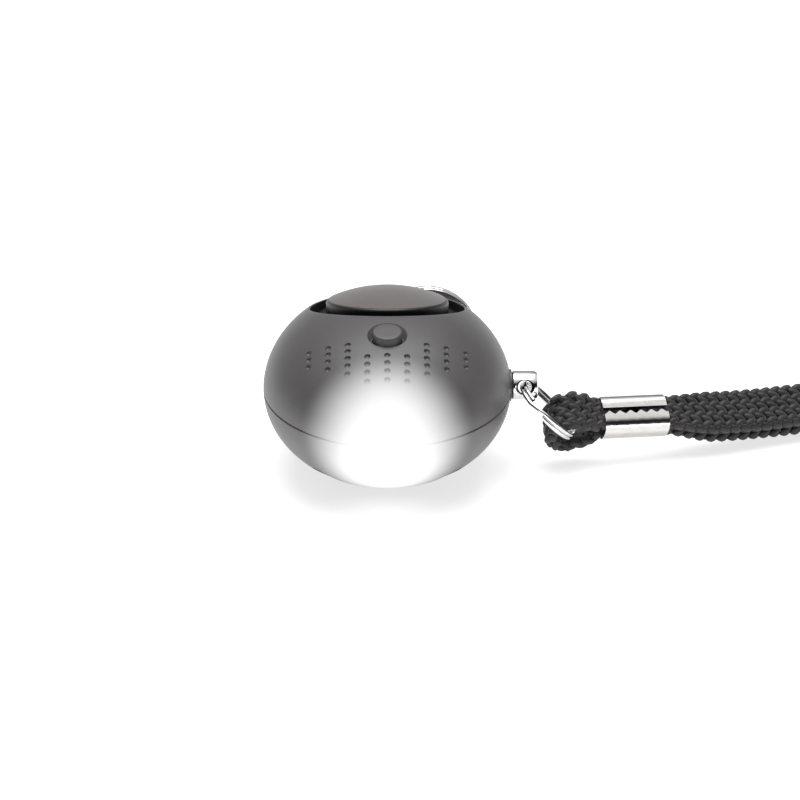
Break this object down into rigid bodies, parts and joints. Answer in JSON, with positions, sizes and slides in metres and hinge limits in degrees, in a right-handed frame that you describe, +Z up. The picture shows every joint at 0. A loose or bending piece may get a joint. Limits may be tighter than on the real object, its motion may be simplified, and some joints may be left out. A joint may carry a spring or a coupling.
{
  "type": "personal safety alarm",
  "caption": "Egg shaped pocket alarm with a sound cap, a lamp and its button, a pull pin on a split ring with a knitted wrist strap, and a key ring.",
  "frame": {"origin": "middle of the flat foot under the widest section of the egg", "axes": "+Z up, -Y towards the lamp, +X towards the pull pin and the strap"},
  "size_m": [0.2093, 0.0637, 0.028],
  "materials": {
    "shell_grey": "fine moulded grain",
    "cap_grey": "satin",
    "lens_clear": "clear",
    "bright_plating": "polished",
    "nickel_sheet": "satin",
    "lamp_body": "clear resin",
    "black_plastic": "moulded",
    "contact_brass": "rolled",
    "ceramic_white": "fired",
    "gasket_foam": "foam",
    "board_green": "lacquered",
    "coil_core": "wound",
    "cell_steel": "drawn",
    "lead_red": "smooth",
    "screw_steel": "zinc plated",
    "strap_black": "knitted"
  },
  "bodies": {
    "case": {"top_shell": "shell_grey", "bottom_shell": "shell_grey", "sound_cap": "cap_grey", "key_lug": "shell_grey", "switch_body": "black_plastic", "lens": "lens_clear", "reflector": "bright_plating", "lamp_led": "lamp_body", "pin_socket": "shell_grey", "contact_leaf_upper": "contact_brass", "contact_leaf_lower": "contact_brass", "piezo_plate": "contact_brass", "piezo_ceramic": "ceramic_white", "sounder_ring": "black_plastic", "sounder_gasket": "gasket_foam", "circuit_board": "board_green", "driver_chip": "black_plastic", "step_up_coil": "coil_core", "cell_1": "cell_steel", "cell_2": "cell_steel", "cell_3": "cell_steel", "cell_tray": "black_plastic", "cell_plate": "nickel_sheet", "cell_leaf": "nickel_sheet", "sounder_leads": "lead_red", "cell_lead": "lead_red", "case_screws": "screw_steel"},
    "pin": {"pull_pin": "bright_plating", "pin_tip": "black_plastic"},
    "ring": {"split_ring": "bright_plating"},
    "strap": {"strap_eye": "strap_black", "strap_neck": "strap_black", "wrist_loop": "strap_black", "strap_crimp": "nickel_sheet"},
    "button": {"lamp_button": "shell_grey", "switch_plunger": "black_plastic"},
    "key": {"key_ring": "bright_plating"}
  },
  "joints": [
    {"name": "pin_pull", "type": "slide", "parent": "case", "child": "pin", "axis": [1, 0, 0], "range_m": [0, 0.014]},
    {"name": "ring_swing", "type": "hinge", "parent": "pin", "child": "ring", "pos_m": [0.02215, 0, 0.0138], "axis": [0, -0.9781, 0.208], "range_deg": [0, 40]},
    {"name": "strap_level", "type": "hinge", "parent": "ring", "child": "strap", "pos_m": [0.02983, -0.00227, 0.00605], "axis": [0, -0.9781, 0.208], "range_deg": [-85, 0]},
    {"name": "button_press", "type": "slide", "parent": "case", "child": "button", "axis": [0, 0, -1], "range_m": [0, 0.0005], "stiffness_N_per_m": 800, "springref_m": -0.001},
    {"name": "key_ring_swing", "type": "hinge", "parent": "case", "child": "key", "pos_m": [0, 0.033, 0.0148], "axis": [0, 0, 1], "range_deg": [-20, 200]}
  ],
  "couplings": [
    {"joint": "strap_level", "follows": "ring_swing", "ratio": -1}
  ]
}
